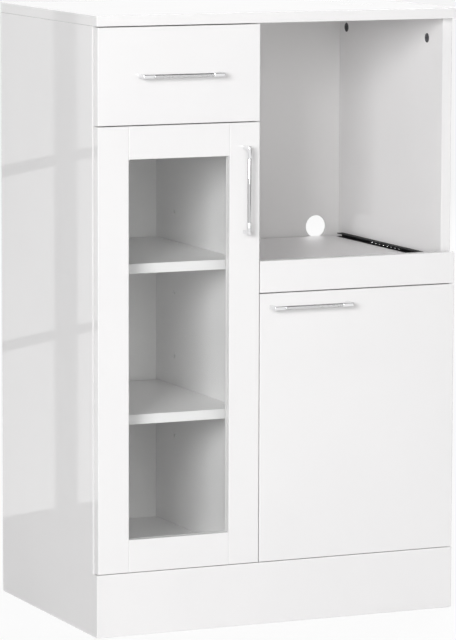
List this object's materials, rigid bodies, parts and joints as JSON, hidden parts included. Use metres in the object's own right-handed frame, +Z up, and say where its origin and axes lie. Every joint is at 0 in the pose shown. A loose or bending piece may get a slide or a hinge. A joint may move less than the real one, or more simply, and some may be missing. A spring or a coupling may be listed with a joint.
{
  "type": "sideboard",
  "caption": "White gloss kitchen sideboard: drawer over a framed glass door on the left, open niche with pull-out tray over a plain door on the right.",
  "frame": {"origin": "on the floor under the middle of the whole object's box, with the handles counted in its depth", "axes": "+X to the right as seen from the front, +Y to the back, so the fronts and handles face -Y, +Z up"},
  "size_m": [0.6, 0.42, 0.94],
  "materials": {
    "white_gloss_board": "gloss white lacquered particle board",
    "white_inner_board": "satin white melamine on particle board",
    "white_back_board": "satin white hardboard",
    "clear_glass": "clear float glass",
    "brushed_bar": "fine brushed bar",
    "chrome_foot": "polished chrome",
    "black_slide_steel": "black electrocoated steel",
    "bright_steel": "bright plated steel",
    "dark_cam_zinc": "dark zinc casting",
    "beech_dowel": "fluted beech",
    "nickel_hinge_steel": "nickel plated steel"
  },
  "bodies": {
    "carcass": {"top_panel": "white_gloss_board", "left_side_panel": "white_gloss_board", "right_side_panel": "white_gloss_board", "centre_divider": "white_gloss_board", "bottom_panel": "white_inner_board", "plinth_board": "white_gloss_board", "rear_kick_board": "white_inner_board", "left_back_panel": "white_back_board", "right_back_panel": "white_back_board", "drawer_support_shelf": "white_inner_board", "tray_support_shelf": "white_inner_board", "upper_glass_shelf": "white_inner_board", "lower_glass_shelf": "white_inner_board", "cupboard_shelf": "white_inner_board", "shelf_pins": "bright_steel", "cam_locks": "dark_cam_zinc", "cam_bolts": "bright_steel", "wood_dowels": "beech_dowel", "drawer_left_rail": "black_slide_steel", "drawer_right_rail": "black_slide_steel", "tray_left_rail": "black_slide_steel", "tray_right_rail": "black_slide_steel", "hinge_plates": "nickel_hinge_steel", "hinge_plate_screws": "bright_steel", "hinge_arms": "nickel_hinge_steel", "hinge_pins": "bright_steel"},
    "drawer": {"drawer_front": "white_gloss_board", "drawer_left_side": "white_inner_board", "drawer_right_side": "white_inner_board", "drawer_back": "white_inner_board", "drawer_bottom": "white_back_board", "drawer_left_runner": "black_slide_steel", "drawer_right_runner": "black_slide_steel", "drawer_handle_bar": "brushed_bar", "drawer_handle_feet": "chrome_foot", "drawer_handle_screws": "bright_steel"},
    "drawer_cages": {"drawer_ball_cages": "black_slide_steel", "drawer_balls": "bright_steel"},
    "tray": {"tray_shelf": "white_gloss_board", "tray_fascia": "white_gloss_board", "tray_dowels": "beech_dowel", "tray_left_runner": "black_slide_steel", "tray_right_runner": "black_slide_steel"},
    "tray_cages": {"tray_ball_cages": "black_slide_steel", "tray_balls": "bright_steel"},
    "glass_door": {"glass_door_hinge_stile": "white_gloss_board", "glass_door_handle_stile": "white_gloss_board", "glass_door_top_rail": "white_gloss_board", "glass_door_bottom_rail": "white_gloss_board", "glass_pane": "clear_glass", "glass_beads": "white_inner_board", "glass_door_handle_bar": "brushed_bar", "glass_door_handle_feet": "chrome_foot", "glass_door_handle_screws": "bright_steel", "glass_door_hinge_cups": "nickel_hinge_steel"},
    "lower_door": {"lower_door_panel": "white_gloss_board", "lower_door_handle_bar": "brushed_bar", "lower_door_handle_feet": "chrome_foot", "lower_door_handle_screws": "bright_steel", "lower_door_hinge_cups": "nickel_hinge_steel"}
  },
  "joints": [
    {"name": "drawer_slide", "type": "slide", "parent": "carcass", "child": "drawer", "axis": [0, -1, 0], "range_m": [0, 0.24]},
    {"name": "drawer_cage_slide", "type": "slide", "parent": "carcass", "child": "drawer_cages", "axis": [0, -1, 0], "range_m": [0, 0.12]},
    {"name": "tray_slide", "type": "slide", "parent": "carcass", "child": "tray", "axis": [0, -1, 0], "range_m": [0, 0.24]},
    {"name": "tray_cage_slide", "type": "slide", "parent": "carcass", "child": "tray_cages", "axis": [0, -1, 0], "range_m": [0, 0.12]},
    {"name": "glass_door_hinge", "type": "hinge", "parent": "carcass", "child": "glass_door", "pos_m": [-0.291, -0.1836, 0.436], "axis": [0, 0, -1], "range_deg": [0, 95]},
    {"name": "lower_door_hinge", "type": "hinge", "parent": "carcass", "child": "lower_door", "pos_m": [0.291, -0.1836, 0.30475], "axis": [0, 0, 1], "range_deg": [0, 95]}
  ],
  "couplings": [
    {"joint": "drawer_cage_slide", "follows": "drawer_slide", "ratio": 0.5},
    {"joint": "tray_cage_slide", "follows": "tray_slide", "ratio": 0.5}
  ]
}
